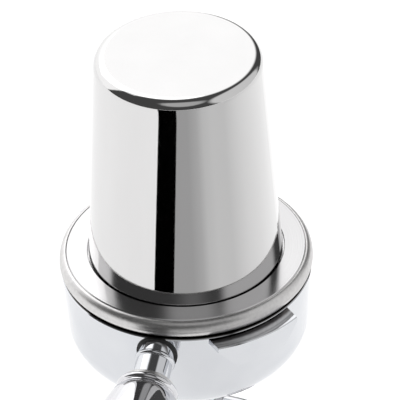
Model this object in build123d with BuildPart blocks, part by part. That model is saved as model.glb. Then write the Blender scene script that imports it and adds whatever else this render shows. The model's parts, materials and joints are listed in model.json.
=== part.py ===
"""Double-spout portafilter for a 58 mm group, with its filter basket, dosing ring and dosing cup.

Millimetres, +Z up. The origin is on the brewing axis, on the top plane of the basket's rim. The
handle points along -Y and slopes down; the spouts lie along +X and -X.
"""

import os
from math import cos, radians, sin

from build123d import *

# ---- filter basket --------------------------------------------------------------------------
RIM_R = 35.0  # outside of the rolled rim
ROLL_R = 1.75  # outside radius of the roll itself
SHEET = 0.8  # basket sheet
BASKET_R = 29.2  # inside of the basket wall
BASKET_DEPTH = 24.5
BASKET_CORNER = 3.0  # outside corner between wall and floor
RIM_BEND = 1.5  # bend from the wall out to the rim
HOLE_R = 0.5  # one perforation in the floor
HOLE_RINGS = 7
HOLE_PITCH = 3.5

# ---- body -----------------------------------------------------------------------------------
BODY_TOP = -4.0  # leaves a thin gap below the basket's roll
BODY_R = 34.6  # at the top edge
BODY_WAIST_R = 33.6  # where the straight wall turns into the bowl
BODY_WAIST = -21.0
BOWL_FLAT_R = 9.6  # flat around the outlet
BOWL_BOTTOM = -36.5
BORE_R = 31.0
CAVITY_FLAT_R = 13.0
CAVITY_WAIST = -21.0  # where the bore turns into the bowl's floor
CAVITY_FLOOR = -33.5
GROOVE_R = 32.3  # groove for the basket spring
GROOVE_TOP = -7.9
GROOVE_HEIGHT = 1.9
OUTLET_BOSS_R = 9.5
OUTLET_BOSS_END = -40.5
OUTLET_BORE_R = 6.5
TOP_EDGE = 0.4  # chamfer round the top

# ---- bayonet lugs ---------------------------------------------------------------------------
LUG_R = 39.3
LUG_TOP = -4.3
LUG_HEIGHT = 7.1
LUG_WIDTH = 25.0
LUG_END = 1.6  # thickness left at each end of the ramp
LUG_RAMP = 5.0  # length of the ramp at each end
LUG_ROOT_R = 33.0  # how far in the lugs reach, inside the body wall
LUG_EDGE = 0.25
LUG_ANGLE = -45.0  # direction of the front lug, from +X

# ---- basket spring --------------------------------------------------------------------------
SPRING_WIRE_R = 0.8
SPRING_R = 31.2  # to the middle of the wire
SPRING_TURN = 325.0  # degrees of wire

# ---- dosing ring and its seal ---------------------------------------------------------------
RING_TOP = 1.6
RING_R = 33.1
RING_EDGE = 0.3  # chamfer on the outer edges
RECESS_R = 27.15  # recess that takes the mouth of the cup
RECESS_FLOOR = -0.4
RECESS_EDGE = 0.15
THROAT_R = 25.6
SPIGOT_R = 28.9  # turned to slide into the basket
SPIGOT_END = -7.0
SPIGOT_FLARE_TOP = -3.5
SPIGOT_FLARE_R = 27.4
SEAL_GROOVE_R = 27.6
SEAL_GROOVE = (-4.9, -3.1)
SEAL_R = 28.3
SEAL_SECTION_R = 0.68

# ---- dosing cup, standing mouth down --------------------------------------------------------
CUP_MOUTH_R = 26.83
CUP_TOP_R = 22.6  # where the side would meet the top with no rounding
CUP_TOP = 65.6
CUP_WALL = 1.2
CUP_ROUND = 3.0
CUP_LIP = 0.35

# ---- spout fittings, stacked below the outlet boss ------------------------------------------
NIPPLE_R = 6.4
NIPPLE_BORE_R = 4.5
NIPPLE_TOP = -33.8
NIPPLE_END = -49.5
NIPPLE_EDGE = 0.5
WASHER_R = 9.0
WASHER_THICKNESS = 0.8
NUT_FLATS = 19.0
NUT_HEIGHT = 3.5
NUT_CROWN = 0.7  # height of the rounding at each face
TURNING_BORE_R = 6.45  # running fit on the nipple

# ---- double spout ---------------------------------------------------------------------------
HUB_R = 9.2
HUB_HEIGHT = 15.0
HUB_EDGE = 0.5
HUB_ROUND = 3.0
HUB_WELL_R = 5.6
HUB_FLOOR = 2.2
ARM_R = 5.0
ARM_BORE_R = 3.7
ARM_START = -55.2
ARM_SAG = 2.4  # fall of the arm before it turns down
ARM_BEND = 9.0
OUTLET_X = 21.0
OUTLET_END = -72.5
OUTLET_BEAD_R = 5.4
OUTLET_BEAD = 1.4

# ---- handle, measured along its own axis from where it meets the body -----------------------
HANDLE_TILT = 19.0
HANDLE_ROOT = (0, -35.0, -9.8)
NECK_R = 5.0
NECK_END = 8.6
NECK_START = -6.0  # inside the body
NECK_BEAD_R = 5.55
NECK_BEAD = (0.8, 2.4)
NECK_COLLAR_R = 5.7  # black collar round the neck's root
NECK_COLLAR = (-3.2, 3.0)  # length it is cut from
COLLAR_HEIGHT = 0.45  # how far it stands out of the body wall
STUD_R = 3.45
STUD_BORE_R = 3.5
STUD_START = -1.8
STUD_BORE_START = -2.0
STUD_END = 62.0
LOCK_WASHER_R = 7.0
LOCK_WASHER_END = 9.8
FERRULE_COLLAR_R = 8.4
FERRULE_COLLAR_END = 11.8
FERRULE_NECK_R = 7.8
FERRULE_SWELL = ((16, 9.9), (24, 12.1))  # (distance, radius) on the way out
FERRULE_R = 12.9
FERRULE_END = 35.0
HANDLE_SEAL_END = 36.2
HANDLE_SEAL_R = 12.7
INSERT_R = 6.5
INSERT_END = 64.0
GRIP_START_R = 12.2
GRIP_SWELL = ((42, 13.1), (70, 12.0), (100, 13.0), (126, 14.4), (141, 14.1))  # (distance, radius)
GRIP_END_R = 12.9
GRIP_END = 150.0
CAP_END = 157.0
CAP_R = 12.68
CAP_ROUND = 1.5
SCREW_R = 2.5
SCREW_HEAD_R = 4.6
SCREW_HEAD = 3.2
SCREW_LENGTH = 22.0
SCREW_WASHER = 0.8
SCREW_SEAT = 0.3  # how far the head sits below the end of the cap
SCREW_SOCKET = 4.0  # across the flats of the hexagon socket, and its depth is half of this
SCREW_ROOM = 4.0  # depth of the hole beyond the screw's tip
TIGHT = 0.05  # clearance round threads and sunk pieces
LOOSE = 0.2

tilt = radians(HANDLE_TILT)
along = Vector(0, -cos(tilt), -sin(tilt))
HANDLE_AXIS = Axis(HANDLE_ROOT, along)
HANDLE_SECTION = Plane(HANDLE_ROOT, x_dir=along, z_dir=(1, 0, 0))  # x along the handle, y is radius

washer_1_top = OUTLET_BOSS_END
nut_top = washer_1_top - WASHER_THICKNESS
washer_2_top = nut_top - NUT_HEIGHT
hub_top = washer_2_top - WASHER_THICKNESS


def across_handle(distance):
    """Plane square to the handle at this distance along it, facing the free end."""
    return Plane(Vector(*HANDLE_ROOT) + along * distance, x_dir=(1, 0, 0), z_dir=along)


def washer_ring(top, thickness, outer, inner):
    """Flat ring about the brewing axis."""
    with BuildPart() as ring:
        with BuildSketch(Plane.XY.offset(top)):
            Circle(outer)
            Circle(inner, mode=Mode.SUBTRACT)
        extrude(amount=-thickness)
    return ring


# ---- portafilter body: bowl, lugs and neck in one casting -----------------------------------
with BuildPart() as lugs:
    with BuildSketch(Plane.XY.offset(LUG_TOP)):
        Circle(LUG_R)
        Circle(LUG_ROOT_R, mode=Mode.SUBTRACT)
    extrude(amount=-LUG_HEIGHT)
    half = LUG_WIDTH / 2
    lug_out = Vector(cos(radians(LUG_ANGLE)), sin(radians(LUG_ANGLE)), 0)
    with BuildSketch(Plane((0, 0, LUG_TOP), x_dir=lug_out.cross(Vector(0, 0, 1)), z_dir=-lug_out)):
        with BuildLine():
            Polyline(
                (-half, 0),
                (half, 0),
                (half, -LUG_END),
                (half - LUG_RAMP, -LUG_HEIGHT),
                (LUG_RAMP - half, -LUG_HEIGHT),
                (-half, -LUG_END),
                close=True,
            )
        make_face()
    extrude(amount=LUG_R + 1, both=True, mode=Mode.INTERSECT)
    top_rims = lugs.faces().sort_by(Axis.Z)[-2:].edges().filter_by(GeomType.CIRCLE)
    chamfer(top_rims.group_by(SortBy.RADIUS)[-1], LUG_EDGE)

with BuildPart() as portafilter_body:
    with BuildSketch(Plane.XZ):
        with BuildLine():
            Polyline((0, BODY_TOP), (BODY_R - TOP_EDGE, BODY_TOP), (BODY_R, BODY_TOP - TOP_EDGE),
                     (BODY_WAIST_R, BODY_WAIST))
            EllipticalCenterArc(
                (BOWL_FLAT_R, BODY_WAIST), BODY_WAIST_R - BOWL_FLAT_R, BODY_WAIST - BOWL_BOTTOM,
                start_angle=-90, arc_size=90)
            Polyline((BOWL_FLAT_R, BOWL_BOTTOM), (OUTLET_BOSS_R, BOWL_BOTTOM),
                     (OUTLET_BOSS_R, OUTLET_BOSS_END), (0, OUTLET_BOSS_END), (0, BODY_TOP))
        make_face()
    revolve(axis=Axis.Z)
    add(lugs.part)
    with BuildSketch(HANDLE_SECTION):
        bead_start, bead_end = NECK_BEAD
        with BuildLine():
            Polyline((NECK_START, 0), (NECK_START, NECK_R), (bead_start, NECK_R))
            ThreePointArc((bead_start, NECK_R), ((bead_start + bead_end) / 2, NECK_BEAD_R),
                          (bead_end, NECK_R))
            Polyline((bead_end, NECK_R), (NECK_END, NECK_R), (NECK_END, 0), (NECK_START, 0))
        make_face()
    revolve(axis=HANDLE_AXIS)
    with BuildSketch(Plane.XZ):
        groove_end = GROOVE_TOP - GROOVE_HEIGHT
        with BuildLine():
            Polyline((0, 0), (LUG_R, 0), (LUG_R, BODY_TOP), (BORE_R, BODY_TOP), (BORE_R, GROOVE_TOP),
                     (GROOVE_R, GROOVE_TOP), (GROOVE_R, groove_end), (BORE_R, groove_end),
                     (BORE_R, CAVITY_WAIST))
            EllipticalCenterArc(
                (CAVITY_FLAT_R, CAVITY_WAIST), BORE_R - CAVITY_FLAT_R, CAVITY_WAIST - CAVITY_FLOOR,
                start_angle=-90, arc_size=90)
            Polyline((CAVITY_FLAT_R, CAVITY_FLOOR), (0, CAVITY_FLOOR), (0, 0))
        make_face()
    revolve(axis=Axis.Z, mode=Mode.SUBTRACT)
    with BuildSketch(Plane.XY.offset(OUTLET_BOSS_END)):
        Circle(OUTLET_BORE_R)
    extrude(amount=CAVITY_FLOOR - OUTLET_BOSS_END, mode=Mode.SUBTRACT)
    with BuildSketch(across_handle(STUD_BORE_START)):
        Circle(STUD_BORE_R)
    extrude(amount=NECK_END - STUD_BORE_START, mode=Mode.SUBTRACT)

# ---- collar round the neck's root, lying on the body wall -----------------------------------
with BuildPart() as neck_collar:
    collar_start, collar_end = NECK_COLLAR
    with BuildSketch(across_handle(collar_start)):
        Circle(NECK_COLLAR_R)
        Circle(NECK_R, mode=Mode.SUBTRACT)
    extrude(amount=collar_end - collar_start)
    with BuildSketch(Plane.XZ):
        Polygon((0, BODY_TOP), (BODY_R + COLLAR_HEIGHT, BODY_TOP),
                (BODY_WAIST_R + COLLAR_HEIGHT, BODY_WAIST), (0, BODY_WAIST), align=None)
    revolve(axis=Axis.Z, mode=Mode.INTERSECT)
    with BuildSketch(Plane.XY):
        Circle(BODY_WAIST_R)
    extrude(amount=BODY_WAIST, mode=Mode.SUBTRACT)
    add(portafilter_body.part, mode=Mode.SUBTRACT)

# ---- basket spring: an open ring of wire in the body's groove -------------------------------
with BuildPart() as basket_spring:
    wire_height = GROOVE_TOP - GROOVE_HEIGHT / 2
    with BuildSketch(Plane.XZ):
        with Locations((SPRING_R, wire_height)):
            Circle(SPRING_WIRE_R)
    revolve(axis=Axis.Z, revolution_arc=SPRING_TURN)

# ---- filter basket --------------------------------------------------------------------------
with BuildPart() as filter_basket:
    wall_out = BASKET_R + SHEET
    bend_r = BASKET_R + RIM_BEND  # radius at which the rim turns flat
    roll_r = RIM_R - ROLL_R
    floor_in = SHEET - BASKET_DEPTH
    floor_r = wall_out - BASKET_CORNER
    corner = BASKET_CORNER - BASKET_DEPTH
    with BuildSketch(Plane.XZ):
        with BuildLine():
            Line((0, -BASKET_DEPTH), (floor_r, -BASKET_DEPTH))
            CenterArc((floor_r, corner), BASKET_CORNER, -90, 90)
            Line((wall_out, corner), (wall_out, -RIM_BEND))
            CenterArc((bend_r, -RIM_BEND), RIM_BEND - SHEET, 90, 90)
            Line((bend_r, -SHEET), (roll_r, -SHEET))
            CenterArc((roll_r, -ROLL_R), ROLL_R - SHEET, -90, 180)
            Line((roll_r, SHEET - 2 * ROLL_R), (roll_r, -2 * ROLL_R))
            CenterArc((roll_r, -ROLL_R), ROLL_R, -90, 180)
            Line((roll_r, 0), (bend_r, 0))
            CenterArc((bend_r, -RIM_BEND), RIM_BEND, 90, 90)
            Line((BASKET_R, -RIM_BEND), (BASKET_R, corner))
            CenterArc((floor_r, corner), BASKET_CORNER - SHEET, -90, 90)
            Polyline((floor_r, floor_in), (0, floor_in), (0, -BASKET_DEPTH))
        make_face()
    revolve(axis=Axis.Z)
    with BuildSketch(Plane.XY.offset(-BASKET_DEPTH)):
        Circle(HOLE_R)
        for ring in range(1, HOLE_RINGS + 1):
            with PolarLocations(ring * HOLE_PITCH, 6 * ring, start_angle=7 * ring):
                Circle(HOLE_R)
    extrude(amount=SHEET, mode=Mode.SUBTRACT)

# ---- dosing ring: flat flange on the basket rim, spigot inside the basket -------------------
with BuildPart() as dosing_ring:
    groove_low, groove_high = SEAL_GROOVE
    with BuildSketch(Plane.XZ):
        with BuildLine():
            Polyline(
                (RECESS_R, RECESS_FLOOR),
                (RECESS_R, RING_TOP - RECESS_EDGE),
                (RECESS_R + RECESS_EDGE, RING_TOP),
                (RING_R - RING_EDGE, RING_TOP),
                (RING_R, RING_TOP - RING_EDGE),
                (RING_R, RING_EDGE / 2),
                (RING_R - RING_EDGE / 2, 0),
                (SPIGOT_R, 0),
                (SPIGOT_R, groove_high),
                (SEAL_GROOVE_R, groove_high),
                (SEAL_GROOVE_R, groove_low),
                (SPIGOT_R, groove_low),
                (SPIGOT_R, SPIGOT_END + RING_EDGE),
                (SPIGOT_R - RING_EDGE, SPIGOT_END),
                (SPIGOT_FLARE_R, SPIGOT_END),
                (THROAT_R, SPIGOT_FLARE_TOP),
                (THROAT_R, RECESS_FLOOR),
                close=True,
            )
        make_face()
    revolve(axis=Axis.Z)

with BuildPart() as ring_seal:
    with BuildSketch(Plane.XZ):
        with Locations((SEAL_R, (groove_low + groove_high) / 2)):
            Circle(SEAL_SECTION_R)
    revolve(axis=Axis.Z)

# ---- dosing cup -----------------------------------------------------------------------------
with BuildPart() as dosing_cup:
    with BuildSketch(Plane.XZ) as cup_section:
        with BuildLine():
            Polyline((0, RECESS_FLOOR), (CUP_MOUTH_R, RECESS_FLOOR), (CUP_TOP_R, CUP_TOP),
                     (0, CUP_TOP), close=True)
        make_face()
        fillet(cup_section.vertices().sort_by(Axis.Y).group_by(Axis.Y)[-1].sort_by(Axis.X)[-1], CUP_ROUND)
    revolve(axis=Axis.Z)
    offset(amount=-CUP_WALL, openings=dosing_cup.faces().sort_by(Axis.Z)[0])
    fillet(dosing_cup.faces().sort_by(Axis.Z)[0].edges(), CUP_LIP)

# ---- spout fittings -------------------------------------------------------------------------
with BuildPart() as spout_nipple:
    with BuildSketch(Plane.XY.offset(NIPPLE_TOP)):
        Circle(NIPPLE_R)
        Circle(NIPPLE_BORE_R, mode=Mode.SUBTRACT)
    extrude(amount=NIPPLE_END - NIPPLE_TOP)
    chamfer(spout_nipple.edges().filter_by(GeomType.CIRCLE).group_by(SortBy.RADIUS)[-1], NIPPLE_EDGE)

spout_upper_washer = washer_ring(washer_1_top, WASHER_THICKNESS, WASHER_R, TURNING_BORE_R)
spout_lower_washer = washer_ring(washer_2_top, WASHER_THICKNESS, WASHER_R, TURNING_BORE_R)

with BuildPart() as spout_lock_nut:
    with BuildSketch(Plane.XY.offset(nut_top)):
        RegularPolygon(NUT_FLATS / 2, 6, major_radius=False)
        Circle(TURNING_BORE_R, mode=Mode.SUBTRACT)
    extrude(amount=-NUT_HEIGHT)
    with BuildSketch(Plane.XZ):
        face_r = (NUT_FLATS + NUT_CROWN) / 2
        crown_r = face_r + 2 * NUT_CROWN
        nut_end = nut_top - NUT_HEIGHT
        with BuildLine():
            Polyline((0, nut_top), (face_r, nut_top), (crown_r, nut_top - NUT_CROWN),
                     (crown_r, nut_end + NUT_CROWN), (face_r, nut_end), (0, nut_end), close=True)
        make_face()
    revolve(axis=Axis.Z, mode=Mode.INTERSECT)

# ---- double spout: a hub with two tubes that turn down --------------------------------------
with BuildPart() as double_spout:
    hub_end = hub_top - HUB_HEIGHT
    with BuildSketch(Plane.XZ):
        with BuildLine():
            Polyline((0, hub_top), (HUB_R - HUB_EDGE, hub_top), (HUB_R, hub_top - HUB_EDGE),
                     (HUB_R, hub_end + HUB_ROUND))
            CenterArc((HUB_R - HUB_ROUND, hub_end + HUB_ROUND), HUB_ROUND, -90, 90)
            Polyline((HUB_R - HUB_ROUND, hub_end), (0, hub_end), (0, hub_top))
        make_face()
    revolve(axis=Axis.Z)
    for radius, mode in ((ARM_R, Mode.ADD), (ARM_BORE_R, Mode.SUBTRACT)):
        for outlet_x in (OUTLET_X, -OUTLET_X):
            with BuildLine(Plane.XZ) as route:
                FilletPolyline((0, ARM_START), (outlet_x, ARM_START - ARM_SAG), (outlet_x, OUTLET_END),
                               radius=ARM_BEND)
            with BuildSketch(Plane(route.line @ 0, z_dir=route.line % 0)):
                Circle(radius)
            sweep(path=route.line, mode=mode)
    with BuildSketch(Plane.XY.offset(OUTLET_END)):
        with Locations((OUTLET_X, 0), (-OUTLET_X, 0)):
            Circle(OUTLET_BEAD_R)
            Circle(ARM_BORE_R, mode=Mode.SUBTRACT)
    extrude(amount=OUTLET_BEAD)
    with BuildSketch(Plane.XY.offset(hub_top)):
        Circle(TURNING_BORE_R)
    extrude(amount=NIPPLE_END - NIPPLE_EDGE - hub_top, mode=Mode.SUBTRACT)
    with BuildSketch(Plane.XY.offset(hub_top)):
        Circle(HUB_WELL_R)
    extrude(amount=HUB_FLOOR - HUB_HEIGHT, mode=Mode.SUBTRACT)

# ---- handle fittings ------------------------------------------------------------------------
with BuildPart() as handle_stud:
    with BuildSketch(across_handle(STUD_START)):
        Circle(STUD_R)
    extrude(amount=STUD_END - STUD_START)
    chamfer(handle_stud.edges().filter_by(GeomType.CIRCLE), 0.6)

with BuildPart() as handle_lock_washer:
    with BuildSketch(across_handle(NECK_END)):
        Circle(LOCK_WASHER_R)
        Circle(STUD_BORE_R, mode=Mode.SUBTRACT)
    extrude(amount=LOCK_WASHER_END - NECK_END)
    chamfer(handle_lock_washer.edges().filter_by(GeomType.CIRCLE).group_by(SortBy.RADIUS)[-1], 0.2)

with BuildPart() as handle_ferrule:
    with BuildSketch(HANDLE_SECTION):
        collar_r = FERRULE_COLLAR_R
        neck_start = (FERRULE_COLLAR_END + 0.3, FERRULE_NECK_R)
        with BuildLine():
            Polyline((LOCK_WASHER_END, STUD_BORE_R), (LOCK_WASHER_END, collar_r - 1))
            ThreePointArc((LOCK_WASHER_END, collar_r - 1), (LOCK_WASHER_END + 1, collar_r),
                          (FERRULE_COLLAR_END, collar_r - 0.6))
            Line((FERRULE_COLLAR_END, collar_r - 0.6), neck_start)
            Spline(neck_start, *FERRULE_SWELL, (FERRULE_END, FERRULE_R), tangents=((1, 1), (1, 0)))
            Polyline((FERRULE_END, FERRULE_R), (FERRULE_END, STUD_BORE_R), (LOCK_WASHER_END, STUD_BORE_R))
        make_face()
    revolve(axis=HANDLE_AXIS)

with BuildPart() as handle_seal:
    with BuildSketch(across_handle(FERRULE_END)):
        Circle(HANDLE_SEAL_R)
        Circle(INSERT_R + TIGHT, mode=Mode.SUBTRACT)
    extrude(amount=HANDLE_SEAL_END - FERRULE_END)
    fillet(handle_seal.edges().filter_by(GeomType.CIRCLE).group_by(SortBy.RADIUS)[-1], 0.4)

with BuildPart() as handle_insert:
    with BuildSketch(across_handle(FERRULE_END)):
        Circle(INSERT_R)
        Circle(STUD_BORE_R, mode=Mode.SUBTRACT)
    extrude(amount=INSERT_END - FERRULE_END)

with BuildPart() as handle_grip:
    screw_hole_r = SCREW_R + TIGHT
    screw_hole_start = CAP_END - SCREW_LENGTH - SCREW_ROOM
    insert_hole = INSERT_R + TIGHT
    insert_hole_end = INSERT_END + 1
    with BuildSketch(HANDLE_SECTION):
        with BuildLine():
            Line((HANDLE_SEAL_END, insert_hole), (HANDLE_SEAL_END, GRIP_START_R))
            Spline((HANDLE_SEAL_END, GRIP_START_R), *GRIP_SWELL, (GRIP_END, GRIP_END_R))
            Polyline((GRIP_END, GRIP_END_R), (GRIP_END, screw_hole_r), (screw_hole_start, screw_hole_r),
                     (screw_hole_start, 0), (insert_hole_end, 0), (insert_hole_end, insert_hole),
                     (HANDLE_SEAL_END, insert_hole))
        make_face()
    revolve(axis=HANDLE_AXIS)

with BuildPart() as handle_end_cap:
    seat = CAP_END - SCREW_HEAD - SCREW_WASHER - SCREW_SEAT
    round_mid = CAP_ROUND * (1 - cos(radians(45)))
    counterbore_r = SCREW_HEAD_R + 2 * LOOSE
    with BuildSketch(HANDLE_SECTION):
        with BuildLine():
            Polyline((GRIP_END, SCREW_R + LOOSE), (GRIP_END, CAP_R - 0.5), (GRIP_END + 0.5, CAP_R),
                     (CAP_END - CAP_ROUND, CAP_R))
            ThreePointArc((CAP_END - CAP_ROUND, CAP_R), (CAP_END - round_mid, CAP_R - round_mid),
                          (CAP_END, CAP_R - CAP_ROUND))
            Polyline((CAP_END, CAP_R - CAP_ROUND), (CAP_END, counterbore_r), (seat, counterbore_r),
                     (seat, SCREW_R + LOOSE), (GRIP_END, SCREW_R + LOOSE))
        make_face()
    revolve(axis=HANDLE_AXIS)

with BuildPart() as handle_end_washer:
    with BuildSketch(across_handle(seat)):
        Circle(SCREW_HEAD_R + LOOSE)
        Circle(SCREW_R + 2 * TIGHT, mode=Mode.SUBTRACT)
    extrude(amount=SCREW_WASHER)

with BuildPart() as handle_end_screw:
    head_start = seat + SCREW_WASHER
    with BuildSketch(across_handle(head_start)):
        Circle(SCREW_HEAD_R)
    extrude(amount=SCREW_HEAD)
    chamfer(handle_end_screw.edges().filter_by(GeomType.CIRCLE).sort_by(HANDLE_AXIS)[-1], 0.4)
    with BuildSketch(across_handle(head_start)):
        Circle(SCREW_R)
    extrude(amount=-SCREW_LENGTH)
    with BuildSketch(across_handle(head_start + SCREW_HEAD)):
        RegularPolygon(SCREW_SOCKET / 2, 6, major_radius=False)
    extrude(amount=-SCREW_SOCKET / 2, mode=Mode.SUBTRACT)

# ---- write every piece ----------------------------------------------------------------------
pieces = {
    "portafilter_body": portafilter_body,
    "neck_collar": neck_collar,
    "basket_spring": basket_spring,
    "filter_basket": filter_basket,
    "dosing_ring": dosing_ring,
    "ring_seal": ring_seal,
    "dosing_cup": dosing_cup,
    "spout_nipple": spout_nipple,
    "spout_upper_washer": spout_upper_washer,
    "spout_lock_nut": spout_lock_nut,
    "spout_lower_washer": spout_lower_washer,
    "double_spout": double_spout,
    "handle_stud": handle_stud,
    "handle_lock_washer": handle_lock_washer,
    "handle_ferrule": handle_ferrule,
    "handle_seal": handle_seal,
    "handle_insert": handle_insert,
    "handle_grip": handle_grip,
    "handle_end_cap": handle_end_cap,
    "handle_end_washer": handle_end_washer,
    "handle_end_screw": handle_end_screw,
}
os.makedirs("parts", exist_ok=True)
for label, piece in pieces.items():
    piece.part.label = label
    export_step(piece.part, f"parts/{label}.step")
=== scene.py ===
"""Looks of the portafilter with its basket, dosing ring and mirror-polished dosing cup.

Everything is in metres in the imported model's frame: the origin is on the brewing axis at the
basket rim, +Z is up and the handle points along -Y.
"""

import json
from math import cos, pi, radians, sin, tan

import bpy
from mathutils import Matrix, Vector


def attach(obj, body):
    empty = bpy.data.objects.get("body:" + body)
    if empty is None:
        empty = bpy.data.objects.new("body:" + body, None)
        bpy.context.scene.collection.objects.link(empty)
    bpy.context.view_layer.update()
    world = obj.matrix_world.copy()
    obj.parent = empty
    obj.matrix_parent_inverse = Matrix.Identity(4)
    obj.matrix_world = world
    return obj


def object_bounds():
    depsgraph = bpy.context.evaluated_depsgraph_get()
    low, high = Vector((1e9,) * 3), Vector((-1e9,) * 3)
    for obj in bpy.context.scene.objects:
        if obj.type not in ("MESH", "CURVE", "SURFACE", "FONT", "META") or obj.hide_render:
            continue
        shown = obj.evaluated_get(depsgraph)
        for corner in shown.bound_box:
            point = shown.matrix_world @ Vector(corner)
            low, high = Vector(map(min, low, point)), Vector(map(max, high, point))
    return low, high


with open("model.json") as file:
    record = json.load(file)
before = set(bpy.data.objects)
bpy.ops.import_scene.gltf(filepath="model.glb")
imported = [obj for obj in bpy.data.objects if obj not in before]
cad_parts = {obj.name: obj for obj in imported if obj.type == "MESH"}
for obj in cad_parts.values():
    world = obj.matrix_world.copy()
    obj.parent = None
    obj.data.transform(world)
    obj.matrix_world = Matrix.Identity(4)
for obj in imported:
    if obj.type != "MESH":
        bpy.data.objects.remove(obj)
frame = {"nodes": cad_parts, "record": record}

cad_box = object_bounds()
MM = 0.001

# ---- where the camera stands ----------------------------------------------------------------
VIEW_AZIMUTH = 15.0  # the handle comes towards the camera, this far to its left
VIEW_ELEVATION = 36.7
VIEW_ROLL = 2.2  # the axis leans this much to the left
VIEW_DISTANCE = 1.1
LENS = 359.0
SENSOR = 36.0
LOOK_RIGHT = 3.86 * MM  # from the origin to the middle of the view
LOOK_UP = 13.85 * MM

azimuth, elevation, roll = (radians(a) for a in (VIEW_AZIMUTH, VIEW_ELEVATION, VIEW_ROLL))
VIEW_BACK = Vector((sin(azimuth) * cos(elevation), -cos(azimuth) * cos(elevation), sin(elevation)))
VIEW_RIGHT = Vector((cos(azimuth), sin(azimuth), 0))
VIEW_UP = VIEW_BACK.cross(VIEW_RIGHT)
FRONT = Vector((sin(azimuth), -cos(azimuth), 0))  # level direction towards the camera

FLOOR = cad_box[0].z


def toward(degrees, radius, height):
    """Point at this height and distance from the axis, this far right of the camera's side."""
    turn = radians(degrees)
    level = FRONT * cos(turn) + VIEW_RIGHT * sin(turn)
    return level * radius + Vector((0, 0, height))


# ---- node helpers ---------------------------------------------------------------------------
NOISE_LOW, NOISE_HIGH = 0.25, 0.75  # most values of a noise lie between these


class Shader:
    """A node material under construction."""

    def __init__(self, name):
        self.material = bpy.data.materials.new(name)
        self.material.use_nodes = True
        self.nodes = self.material.node_tree.nodes
        self.links = self.material.node_tree.links
        self.bsdf = self.nodes["Principled BSDF"]
        self.place = self.node("ShaderNodeTexCoord").outputs["Object"]

    def node(self, kind, **values):
        made = self.nodes.new(kind)
        for key, value in values.items():
            setattr(made, key, value)
        return made

    def set(self, **values):
        """Plain values for inputs of the shader, spaces in their names written as _."""
        for key, value in values.items():
            self.bsdf.inputs[key.replace("_", " ")].default_value = value

    def math(self, operation, a, b=0.0):
        made = self.node("ShaderNodeMath", operation=operation)
        for socket, value in zip(made.inputs, (a, b)):
            if isinstance(value, (int, float)):
                socket.default_value = value
            else:
                self.links.new(value, socket)
        return made.outputs[0]

    def noise(self, scale, detail=3.0, roughness=0.5, vector=None):
        made = self.node("ShaderNodeTexNoise")
        made.inputs["Scale"].default_value = scale
        made.inputs["Detail"].default_value = detail
        made.inputs["Roughness"].default_value = roughness
        self.links.new(vector or self.place, made.inputs["Vector"])
        return made.outputs["Fac"]

    def stretched(self, x, y, z):
        """The place, scaled by these amounts."""
        made = self.node("ShaderNodeMapping")
        made.inputs["Scale"].default_value = (x, y, z)
        self.links.new(self.place, made.inputs["Vector"])
        return made.outputs["Vector"]

    def axes(self):
        """The place's x, y and z."""
        parts = self.node("ShaderNodeSeparateXYZ")
        self.links.new(self.place, parts.inputs[0])
        return parts.outputs

    def radius(self):
        """Distance from the brewing axis."""
        x, y, _ = self.axes()
        squares = self.math("ADD", self.math("MULTIPLY", x, x), self.math("MULTIPLY", y, y))
        return self.math("SQRT", squares)

    def radial(self):
        """(distance from the brewing axis, height, 0), for turning marks."""
        made = self.node("ShaderNodeCombineXYZ")
        self.links.new(self.radius(), made.inputs[0])
        self.links.new(self.axes()[2], made.inputs[1])
        return made.outputs[0]

    def ramp(self, value, low, high):
        """The noise's usual range, mapped to between two numbers or two colours."""
        if isinstance(low, (int, float)):
            made = self.node("ShaderNodeMapRange")
            made.inputs["From Min"].default_value = NOISE_LOW
            made.inputs["From Max"].default_value = NOISE_HIGH
            made.inputs["To Min"].default_value = low
            made.inputs["To Max"].default_value = high
            self.links.new(value, made.inputs["Value"])
            return made.outputs[0]
        made = self.node("ShaderNodeValToRGB")
        first, last = made.color_ramp.elements
        first.position, last.position = NOISE_LOW, NOISE_HIGH
        first.color, last.color = (*low, 1), (*high, 1)
        self.links.new(value, made.inputs["Fac"])
        return made.outputs["Color"]

    def fade(self, value, start, end, amount=1.0):
        """0 up to the start, changing smoothly to this amount at the end, which may be lower."""
        made = self.node("ShaderNodeMapRange", interpolation_type="SMOOTHSTEP")
        made.inputs["From Min"].default_value = start
        made.inputs["From Max"].default_value = end
        made.inputs["To Max"].default_value = amount
        self.links.new(value, made.inputs["Value"])
        return made.outputs[0]

    def painted_shade_mix(self, colour, shade_colour, amount):
        """The colour, mixed by this amount with a plain dark colour that is painted shade."""
        # painted shade: the dark colour stands in for shadow, not for a stain on the metal
        made = self.node("ShaderNodeMix", data_type="RGBA")
        self.links.new(amount, made.inputs["Factor"])
        self.links.new(colour, made.inputs["A"])
        made.inputs["B"].default_value = (*shade_colour, 1)
        return made.outputs["Result"]

    def use(self, **sources):
        """Node outputs for inputs of the shader, spaces in their names written as _."""
        for key, value in sources.items():
            self.links.new(value, self.bsdf.inputs[key.replace("_", " ")])

    def bump(self, height, distance, under=None):
        """Raises the surface by the height, on top of the bump under it if there is one."""
        made = self.node("ShaderNodeBump")
        made.inputs["Distance"].default_value = distance
        self.links.new(height, made.inputs["Height"])
        if under:
            self.links.new(under, made.inputs["Normal"])
        self.links.new(made.outputs["Normal"], self.bsdf.inputs["Normal"])
        return made.outputs["Normal"]


# ---- materials ------------------------------------------------------------------------------
def mirror_steel():
    """Polished stainless cup: almost a mirror, with faint buffing haze."""
    s = Shader("mirror_steel")
    s.set(Metallic=1.0)
    haze = s.noise(90.0, 4.0, vector=s.stretched(1, 1, 0.25))
    s.use(Base_Color=s.ramp(haze, (0.685, 0.68, 0.68), (0.71, 0.705, 0.705)))
    s.use(Roughness=s.ramp(s.noise(700.0, 5.0), 0.035, 0.06))
    s.bump(s.noise(60.0, 1.0), 0.004 * MM)
    return s.material


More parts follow.
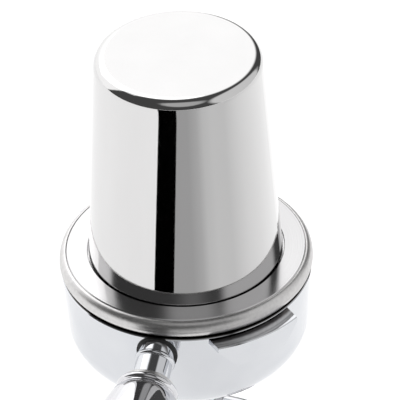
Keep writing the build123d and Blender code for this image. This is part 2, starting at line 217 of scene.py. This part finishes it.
def turned_steel():
    """Fine-turned ring: close concentric marks, polished over."""
    s = Shader("turned_steel")
    s.set(Metallic=1.0, Anisotropic=0.75)
    tangent = s.node("ShaderNodeTangent", direction_type="RADIAL", axis="Z")
    s.links.new(tangent.outputs[0], s.bsdf.inputs["Tangent"])
    marks = s.noise(9000.0, 2.0, vector=s.radial())
    s.use(Base_Color=s.ramp(marks, (0.57, 0.565, 0.57), (0.65, 0.645, 0.65)))
    s.use(Roughness=s.ramp(s.noise(2500.0, 2.0, vector=s.radial()), 0.14, 0.2))
    s.bump(marks, 0.0012 * MM)
    return s.material


def satin_steel():
    """Pressed basket and rolled edges: satin, slightly mottled, with painted shade darkening the
    underside below the rim.
    """
    s = Shader("satin_steel")
    s.set(Metallic=1.0)
    marks = s.noise(5200.0, 2.0, vector=s.radial())
    mottle = s.noise(900.0, 4.0, 0.65)
    sheet = s.ramp(mottle, (0.6, 0.592, 0.588), (0.74, 0.73, 0.726))
    # painted shade: the sheet goes near-black below the rim, where the gap to the body lies in shadow
    under_rim = s.fade(s.axes()[2], -2.2 * MM, -3.0 * MM, 0.9)
    painted_shade_mask = s.math("MULTIPLY", under_rim, s.fade(s.radius(), 32.4 * MM, 33.0 * MM))
    s.use(Base_Color=s.painted_shade_mix(sheet, (0.06, 0.05, 0.045), painted_shade_mask))
    s.use(Roughness=s.ramp(s.noise(1800.0, 3.0), 0.32, 0.42))
    under = s.bump(mottle, 0.005 * MM)
    s.bump(marks, 0.0012 * MM, under=under)
    return s.material


def cast_chrome():
    """Chrome plate over a polished casting, with a soft ripple and painted shade on the top ledge
    under the basket's rim.
    """
    s = Shader("cast_chrome")
    s.set(Metallic=1.0)
    plate = s.ramp(s.noise(60.0, 3.0), (0.65, 0.663, 0.69), (0.7, 0.71, 0.733))
    # painted shade: a near-black band on the top ledge stands in for the shadowed gap under the rim
    painted_shade_mask = s.fade(s.axes()[2], -4.28 * MM, -4.1 * MM, 0.95)
    s.use(Base_Color=s.painted_shade_mix(plate, (0.03, 0.025, 0.02), painted_shade_mask))
    s.use(Roughness=s.ramp(s.noise(420.0, 5.0, 0.6), 0.03, 0.07))
    s.bump(s.noise(85.0, 2.0, 0.4), 0.03 * MM)
    return s.material


def bright_chrome():
    """Chrome-plated fittings: a cleaner mirror with faint polishing lines."""
    s = Shader("bright_chrome")
    s.set(Metallic=1.0)
    s.use(Base_Color=s.ramp(s.noise(200.0, 3.0), (0.68, 0.68, 0.7), (0.74, 0.74, 0.76)))
    s.use(Roughness=s.ramp(s.noise(1100.0, 5.0, 0.6), 0.03, 0.07))
    s.bump(s.noise(160.0, 2.0, 0.4), 0.008 * MM)
    return s.material


def plain_steel():
    """Drawn wire, studs and washers: dull steel with drawing marks."""
    s = Shader("plain_steel")
    s.set(Metallic=1.0)
    s.use(Base_Color=s.ramp(s.noise(700.0, 4.0), (0.5, 0.495, 0.49), (0.64, 0.635, 0.63)))
    s.use(Roughness=s.ramp(s.noise(2200.0, 4.0), 0.25, 0.42))
    s.bump(s.noise(1500.0, 3.0), 0.006 * MM)
    return s.material


def turned_brass():
    """Machined brass with slight tarnish in patches."""
    s = Shader("turned_brass")
    s.set(Metallic=1.0)
    s.use(Base_Color=s.ramp(s.noise(350.0, 5.0), (0.62, 0.42, 0.17), (0.8, 0.6, 0.3)))
    s.use(Roughness=s.ramp(s.noise(900.0, 4.0), 0.2, 0.4))
    s.bump(s.noise(4200.0, 2.0, vector=s.radial()), 0.004 * MM)
    return s.material


def sealing_plastic():
    """White sealing washers, slightly waxy."""
    s = Shader("sealing_plastic")
    s.set(Subsurface_Weight=0.15, Subsurface_Scale=0.001)
    s.use(Base_Color=s.ramp(s.noise(600.0, 3.0), (0.82, 0.8, 0.75), (0.92, 0.9, 0.86)))
    s.use(Roughness=s.ramp(s.noise(1300.0, 4.0), 0.35, 0.5))
    s.bump(s.noise(2400.0, 3.0), 0.005 * MM)
    return s.material


def seal_rubber():
    """Black moulded rubber with a dusty bloom."""
    s = Shader("seal_rubber")
    s.use(Base_Color=s.ramp(s.noise(500.0, 5.0), (0.012, 0.012, 0.012), (0.04, 0.04, 0.04)))
    s.use(Roughness=s.ramp(s.noise(1500.0, 4.0), 0.5, 0.75))
    s.bump(s.noise(3500.0, 4.0), 0.01 * MM)
    return s.material


def grip_plastic():
    """Black moulded grip: fine spark-eroded grain, a little glossier in random patches."""
    s = Shader("grip_plastic")
    s.set(Specular_IOR_Level=0.5)
    s.use(Base_Color=s.ramp(s.noise(120.0, 3.0), (0.014, 0.014, 0.015), (0.026, 0.026, 0.028)))
    s.use(Roughness=s.ramp(s.noise(55.0, 3.0), 0.34, 0.5))
    s.bump(s.noise(2600.0, 3.0, 0.6), 0.02 * MM)
    return s.material


FINISHES = {
    "body_chrome": cast_chrome,
    "fitting_chrome": bright_chrome,
    "cup_steel": mirror_steel,
    "ring_steel": turned_steel,
    "basket_steel": satin_steel,
    "spring_steel": plain_steel,
    "nipple_brass": turned_brass,
    "washer_plastic": sealing_plastic,
    "seal_rubber": seal_rubber,
    "grip_plastic": grip_plastic,
}


def finish_nodes():
    """Each CAD node takes the material of its slot in the record."""
    made = {slot: build() for slot, build in FINISHES.items()}
    for subpart in frame["record"]["subparts"]:
        node = frame["nodes"][subpart["node"]]
        for holder in node.material_slots:
            holder.material = made[subpart["material_slot"]]


# ---- rolled edge of the dosing ring, over the basket's rim ----------------------------------
EDGE_IN, EDGE_OUT = 33.12 * MM, 34.95 * MM
EDGE_TOP, EDGE_END = 1.45 * MM, -1.2 * MM
EDGE_LIP = 0.12 * MM  # how far the sheet's first edge hangs below its top
EDGE_SIDES, EDGE_STEPS = 256, 12


def make_ring_edge():
    """Sheet rolled outwards and down from the ring, just clear of the basket's rim."""
    profile = [(EDGE_IN, EDGE_TOP - EDGE_LIP)]
    for step in range(EDGE_STEPS + 1):
        turn = step / EDGE_STEPS * pi / 2
        radius = EDGE_IN + (EDGE_OUT - EDGE_IN) * sin(turn)
        height = EDGE_END + (EDGE_TOP - EDGE_END) * cos(turn)
        profile.append((radius, height))
    vertices, faces = [], []
    for side in range(EDGE_SIDES):
        turn = 2 * pi * side / EDGE_SIDES
        vertices += [(r * cos(turn), r * sin(turn), z) for r, z in profile]
    width = len(profile)
    for side in range(EDGE_SIDES):
        here, after = side * width, (side + 1) % EDGE_SIDES * width
        faces += [(here + k, here + k + 1, after + k + 1, after + k) for k in range(width - 1)]
    mesh = bpy.data.meshes.new("ring_edge")
    mesh.from_pydata(vertices, [], faces)
    mesh.materials.append(satin_steel())
    mesh.shade_smooth()
    edge = bpy.data.objects.new("ring_edge", mesh)
    bpy.context.scene.collection.objects.link(edge)
    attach(edge, "ring")


# ---- stage: floor, cards, world, lamp and camera --------------------------------------------
def stage_mesh(name, vertices, faces, material):
    mesh = bpy.data.meshes.new(name)
    mesh.from_pydata([tuple(v) for v in vertices], [], faces)
    mesh.materials.append(material)
    thing = bpy.data.objects.new(name, mesh)
    bpy.context.scene.collection.objects.link(thing)
    return thing


def reflection_only(thing):
    """A card that only shows in reflections."""
    thing.visible_camera = False
    thing.visible_diffuse = False
    thing.visible_shadow = False
    thing.visible_transmission = False


def glow(name):
    """Emission that follows the mesh's own brightness attribute; clear seen from behind."""
    material = bpy.data.materials.new(name)
    material.use_nodes = True
    nodes, links = material.node_tree.nodes, material.node_tree.links
    nodes.clear()
    shade = nodes.new("ShaderNodeAttribute")
    shade.attribute_name = "brightness"
    emission = nodes.new("ShaderNodeEmission")
    clear = nodes.new("ShaderNodeBsdfTransparent")
    side = nodes.new("ShaderNodeNewGeometry")
    pick = nodes.new("ShaderNodeMixShader")
    output = nodes.new("ShaderNodeOutputMaterial")
    links.new(shade.outputs["Fac"], emission.inputs["Strength"])
    links.new(side.outputs["Backfacing"], pick.inputs[0])
    links.new(emission.outputs[0], pick.inputs[1])
    links.new(clear.outputs[0], pick.inputs[2])
    links.new(pick.outputs[0], output.inputs[0])
    return material


def card(name, rows):
    """Reflected card made of rows of (place, brightness), all equally long."""
    vertices = [place for row in rows for place, _ in row]
    shades = [shade for row in rows for _, shade in row]
    width = len(rows[0])
    faces = []
    for row in range(len(rows) - 1):
        for column in range(width - 1):
            a = row * width + column
            faces.append((a, a + width, a + width + 1, a + 1))
    made = stage_mesh(name, vertices, faces, glow(name))
    level = made.data.attributes.new("brightness", "FLOAT", "POINT")
    level.data.foreach_set("value", shades)
    reflection_only(made)


FLOOR_SIZE = 6.0
FLOOR_GLOW = 0.7  # the floor's own light, which keeps it even


def make_floor():
    material = bpy.data.materials.new("floor")
    material.use_nodes = True
    bsdf = material.node_tree.nodes["Principled BSDF"]
    bsdf.inputs["Base Color"].default_value = (0.7, 0.7, 0.7, 1)
    bsdf.inputs["Roughness"].default_value = 0.9
    bsdf.inputs["Specular IOR Level"].default_value = 0.1
    bsdf.inputs["Emission Color"].default_value = (1, 1, 1, 1)
    bsdf.inputs["Emission Strength"].default_value = FLOOR_GLOW
    half = FLOOR_SIZE / 2
    corners = [(-half, -half, FLOOR), (half, -half, FLOOR), (half, half, FLOOR), (-half, half, FLOOR)]
    stage_mesh("floor", corners, [(0, 1, 2, 3)], material)


CUP_FOOT_R, CUP_HEAD_R, CUP_HEIGHT = 26.8 * MM, 22.6 * MM, 65.6 * MM
MIRRORED_DOWN = radians(29.3)  # slope at which the cup's side mirrors the floor to the camera
TABLE = -4.5 * MM  # height of the cards in front of the cup, just above the handle
ROWS = (3 * MM, 63 * MM)  # lowest and highest place on the cup that mirrors them
FAR_REACH = 8.0  # how much further out the cards go than the wall mirrors, for its top edge
STRIPE_START = (-19.6, -14.2)  # black flag as mirrored on the cup, in degrees, low and high
STRIPE_END = (-8.0, -2.4)
GREY_NEAR = 0.435  # brightness beside the flag, then by degrees round the cup
GREYS = ((4, 0.44), (10, 0.53), (14, 0.66), (20, 0.72), (29, 0.71), (41, 0.88), (58, 1.04), (85, 1.25))
CARD_ROWS = 8  # steps up each card
CARD_STEPS = 4  # steps across the flag, and between two of the greys


def between(low, high, part):
    return low + (high - low) * part


def mirrored(degrees, height, reach=1.0):
    """Point on the table that the cup's side mirrors to the camera at this place."""
    side = toward(degrees, between(CUP_FOOT_R, CUP_HEAD_R, height / CUP_HEIGHT), TABLE)
    return side + toward(2 * degrees, reach * (height - TABLE) / tan(MIRRORED_DOWN), 0)


def make_cards():
    """Cards in front and to the right of the cup: a black flag, then grey that brightens."""
    flag, grey = [], []
    rows = [(part / CARD_ROWS, 1.0) for part in range(CARD_ROWS + 1)] + [(1.0, FAR_REACH)]
    for up, reach in rows:
        height = between(*ROWS, up)
        start, end = between(*STRIPE_START, up), between(*STRIPE_END, up)
        across = [between(start, end, part / CARD_STEPS) for part in range(CARD_STEPS + 1)]
        flag.append([(mirrored(angle, height, reach), 0.0) for angle in across])
        columns = [(end, GREY_NEAR)]
        for angle, shade in GREYS:
            last_angle, last_shade = columns[-1]
            for step in range(1, CARD_STEPS + 1):
                part = step / CARD_STEPS
                columns.append((between(last_angle, angle, part), between(last_shade, shade, part)))
        grey.append([(mirrored(angle, height, reach), shade) for angle, shade in columns])
    card("flag", flag)
    card("grey", grey)


DIM_ROOM = 0.07  # brightness of the room wherever no soft box stands
# soft boxes as (degrees right of the camera, degrees up, cosines where they fade in, brightness)
SOFT_BOXES = (
    (-168, 37, (0.78, 0.92), 1.38),
    (-142, 14, (0.7, 0.75), 1.25),
    (84, 20, (0.72, 0.82), 0.75),
    (5, 54, (0.89, 0.965), 0.5),
)


def light_world():
    """A dim room with soft boxes; where two of them overlap, the brighter one counts."""
    world = bpy.data.worlds.new("studio")
    bpy.context.scene.world = world
    world.use_nodes = True
    nodes, links = world.node_tree.nodes, world.node_tree.links
    direction = nodes.new("ShaderNodeTexCoord").outputs["Generated"]
    level = None
    for angle, up, (far, near), brightness in SOFT_BOXES:
        facing = nodes.new("ShaderNodeVectorMath")
        facing.operation = "DOT_PRODUCT"
        facing.inputs[1].default_value = toward(angle, cos(radians(up)), sin(radians(up)))
        links.new(direction, facing.inputs[0])
        box = nodes.new("ShaderNodeMapRange")
        box.interpolation_type = "SMOOTHSTEP"
        box.inputs["From Min"].default_value = far
        box.inputs["From Max"].default_value = near
        box.inputs["To Min"].default_value = DIM_ROOM
        box.inputs["To Max"].default_value = brightness
        links.new(facing.outputs["Value"], box.inputs["Value"])
        if level is None:
            level = box.outputs["Result"]
            continue
        brighter = nodes.new("ShaderNodeMath")
        brighter.operation = "MAXIMUM"
        links.new(level, brighter.inputs[0])
        links.new(box.outputs["Result"], brighter.inputs[1])
        level = brighter.outputs[0]
    nodes["Background"].inputs["Color"].default_value = (1, 1, 1, 1)
    links.new(level, nodes["Background"].inputs["Strength"])


KEY_PLACE = toward(-150, 0.8, 0.9)  # behind the object, to the camera's left
KEY_SIZE = 0.9
KEY_POWER = 2.0


def add_key_lamp():
    data = bpy.data.lights.new("key", "AREA")
    data.shape = "RECTANGLE"
    data.size, data.size_y = KEY_SIZE, KEY_SIZE
    data.energy = KEY_POWER
    lamp = bpy.data.objects.new("key", data)
    lamp.location = KEY_PLACE
    lamp.rotation_euler = (-KEY_PLACE).to_track_quat("-Z", "Y").to_euler()
    bpy.context.scene.collection.objects.link(lamp)


def make_camera():
    data = bpy.data.cameras.new("camera")
    data.lens = LENS
    data.sensor_width = SENSOR
    data.clip_start = 0.01
    data.clip_end = 20
    camera = bpy.data.objects.new("camera", data)
    across = VIEW_RIGHT * cos(roll) - VIEW_UP * sin(roll)
    upward = VIEW_RIGHT * sin(roll) + VIEW_UP * cos(roll)
    place = VIEW_BACK * VIEW_DISTANCE + across * LOOK_RIGHT + upward * LOOK_UP
    camera.matrix_world = Matrix((
        (across.x, upward.x, VIEW_BACK.x, place.x),
        (across.y, upward.y, VIEW_BACK.y, place.y),
        (across.z, upward.z, VIEW_BACK.z, place.z),
        (0, 0, 0, 1),
    ))
    bpy.context.scene.collection.objects.link(camera)
    bpy.context.scene.camera = camera


finish_nodes()
make_ring_edge()
make_floor()
make_cards()
light_world()
add_key_lamp()
make_camera()
bpy.context.scene.view_settings.view_transform = "Standard"
